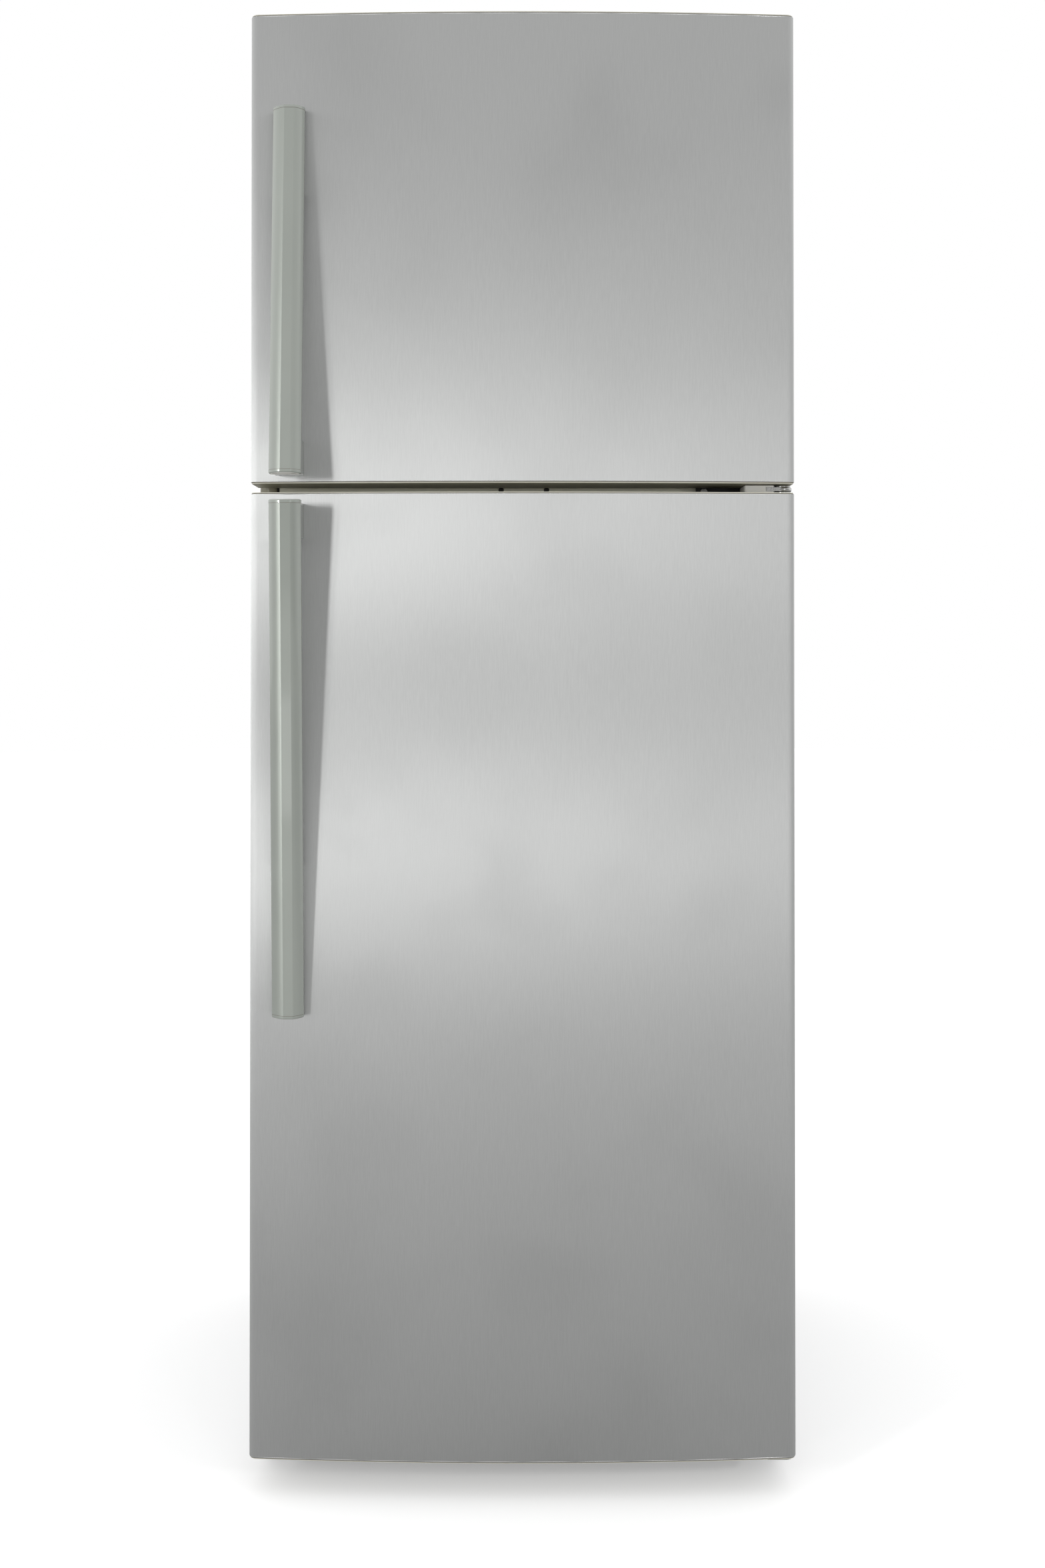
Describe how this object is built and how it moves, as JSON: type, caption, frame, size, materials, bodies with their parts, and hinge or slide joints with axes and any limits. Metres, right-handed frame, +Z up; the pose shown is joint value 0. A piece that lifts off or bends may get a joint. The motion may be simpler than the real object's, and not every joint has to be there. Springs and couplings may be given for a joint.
{
  "type": "fridge freezer",
  "caption": "Top-freezer fridge freezer with bowed brushed-steel doors hinged on the right, slanted grip handles, shelves, drawers and a twist ice maker.",
  "frame": {"origin": "on the floor, under the middle of the overall box", "axes": "+X to the right as seen from the front, +Y to the back, +Z up"},
  "size_m": [0.67, 0.7274, 1.8345],
  "materials": {
    "door_steel": "satin",
    "handle_satin": "satin",
    "trim_beige": "satin",
    "rail_grey": "satin",
    "case_paint": "satin",
    "zinc_sheet": "satin",
    "liner_white": "satin",
    "foam": "matte",
    "gasket_grey": "matte",
    "shelf_glass": "polished",
    "clear_plastic": "gloss",
    "white_plastic": "satin",
    "lens_plastic": "satin",
    "hinge_steel": "polished",
    "hinge_dark": "satin",
    "cover_grey": "satin",
    "bolt_chrome": "polished",
    "compressor_black": "satin",
    "copper_tube": "satin",
    "fin_aluminium": "satin",
    "black_rubber": "matte",
    "black_plastic": "matte",
    "foot_grey": "satin"
  },
  "bodies": {
    "cabinet": {"side_panels": "case_paint", "top_panel": "case_paint", "case_flange": "case_paint", "back_panel": "zinc_sheet", "base_pan": "zinc_sheet", "cabinet_foam": "foam", "freezer_liner": "liner_white", "fridge_liner": "liner_white", "mid_rail": "rail_grey", "top_hinge": "hinge_steel", "top_hinge_cover": "cover_grey", "mid_hinge": "hinge_steel", "mid_hinge_cover": "cover_grey", "bottom_hinge": "hinge_steel", "hinge_bolts": "bolt_chrome", "kick_plate": "foot_grey", "compressor": "compressor_black", "compressor_grommets": "black_rubber", "condenser": "copper_tube", "drain_pan": "black_plastic", "machine_cover": "zinc_sheet", "evaporator": "fin_aluminium", "evaporator_cover": "liner_white", "fan_motor": "hinge_dark", "air_duct": "white_plastic", "lamp_housing": "white_plastic", "lamp_lens": "lens_plastic", "fridge_shelves": "shelf_glass", "crisper_cover": "shelf_glass", "freezer_shelf": "shelf_glass", "shelf_trims": "white_plastic", "ice_maker_frame": "white_plastic"},
    "freezer_door": {"freezer_door_skin": "door_steel", "freezer_door_caps": "trim_beige", "freezer_door_foam": "foam", "freezer_door_liner": "liner_white", "freezer_door_gasket": "gasket_grey", "freezer_door_bins": "clear_plastic", "freezer_handle": "handle_satin", "freezer_handle_feet": "handle_satin"},
    "fridge_door": {"fridge_door_skin": "door_steel", "fridge_door_caps": "trim_beige", "fridge_door_foam": "foam", "fridge_door_liner": "liner_white", "fridge_door_gasket": "gasket_grey", "fridge_door_bins": "clear_plastic", "fridge_handle": "handle_satin", "fridge_handle_feet": "handle_satin"},
    "evaporator_fan": {"evaporator_fan": "white_plastic"},
    "foot_left": {"foot_left": "foot_grey"},
    "foot_right": {"foot_right": "foot_grey"},
    "roller_left": {"roller_left": "black_plastic"},
    "roller_right": {"roller_right": "black_plastic"},
    "crisper_drawer": {"crisper_drawer": "clear_plastic"},
    "chill_drawer": {"chill_drawer": "clear_plastic"},
    "ice_tray_left": {"ice_tray_left": "white_plastic"},
    "ice_tray_right": {"ice_tray_right": "white_plastic"},
    "ice_box": {"ice_box": "clear_plastic"},
    "temperature_dial": {"temperature_dial": "white_plastic"},
    "light_switch": {"light_switch": "white_plastic"}
  },
  "joints": [
    {"name": "freezer_door_hinge", "type": "hinge", "parent": "cabinet", "child": "freezer_door", "pos_m": [0.324, -0.28029, 1.5245], "axis": [0, 0, 1], "range_deg": [0, 130]},
    {"name": "fridge_door_hinge", "type": "hinge", "parent": "cabinet", "child": "fridge_door", "pos_m": [0.324, -0.28029, 0.63375], "axis": [0, 0, 1], "range_deg": [0, 130]},
    {"name": "crisper_slide", "type": "slide", "parent": "cabinet", "child": "crisper_drawer", "axis": [0, -1, 0], "range_m": [0, 0.2215]},
    {"name": "chill_slide", "type": "slide", "parent": "cabinet", "child": "chill_drawer", "axis": [0, -1, 0], "range_m": [0, 0.2215]},
    {"name": "ice_box_slide", "type": "slide", "parent": "cabinet", "child": "ice_box", "axis": [0, -1, 0], "range_m": [0, 0.182]},
    {"name": "evaporator_fan_spin", "type": "hinge", "parent": "cabinet", "child": "evaporator_fan", "pos_m": [0, 0.24071, 1.6545], "axis": [0, 1, 0], "continuous": true},
    {"name": "foot_left_screw", "type": "hinge", "parent": "cabinet", "child": "foot_left", "pos_m": [-0.285, -0.18629, 0.015], "axis": [0, 0, 1], "continuous": true},
    {"name": "roller_left_roll", "type": "hinge", "parent": "cabinet", "child": "roller_left", "pos_m": [-0.285, 0.30371, 0.013], "axis": [1, 0, 0], "continuous": true},
    {"name": "ice_tray_left_twist", "type": "hinge", "parent": "cabinet", "child": "ice_tray_left", "pos_m": [-0.206, -0.10829, 1.418], "axis": [0, 1, 0], "range_deg": [0, 150], "stiffness_Nm_per_rad": 0.2},
    {"name": "foot_right_screw", "type": "hinge", "parent": "cabinet", "child": "foot_right", "pos_m": [0.285, -0.18629, 0.015], "axis": [0, 0, 1], "continuous": true},
    {"name": "roller_right_roll", "type": "hinge", "parent": "cabinet", "child": "roller_right", "pos_m": [0.285, 0.30371, 0.013], "axis": [1, 0, 0], "continuous": true},
    {"name": "ice_tray_right_twist", "type": "hinge", "parent": "cabinet", "child": "ice_tray_right", "pos_m": [-0.082, -0.10829, 1.418], "axis": [0, 1, 0], "range_deg": [0, 150], "stiffness_Nm_per_rad": 0.2},
    {"name": "temperature_dial_turn", "type": "hinge", "parent": "cabinet", "child": "temperature_dial", "pos_m": [0.062, -0.12329, 1.181], "axis": [0, -1, 0], "range_deg": [0, 270]},
    {"name": "light_switch_press", "type": "slide", "parent": "cabinet", "child": "light_switch", "axis": [0, 1, 0], "range_m": [0, 0.005], "stiffness_N_per_m": 80}
  ],
  "couplings": [
    {"joint": "crisper_slide", "follows": "fridge_door_hinge", "m_per_rad": 0.0974},
    {"joint": "chill_slide", "follows": "fridge_door_hinge", "m_per_rad": 0.0974},
    {"joint": "ice_box_slide", "follows": "freezer_door_hinge", "m_per_rad": 0.08}
  ]
}
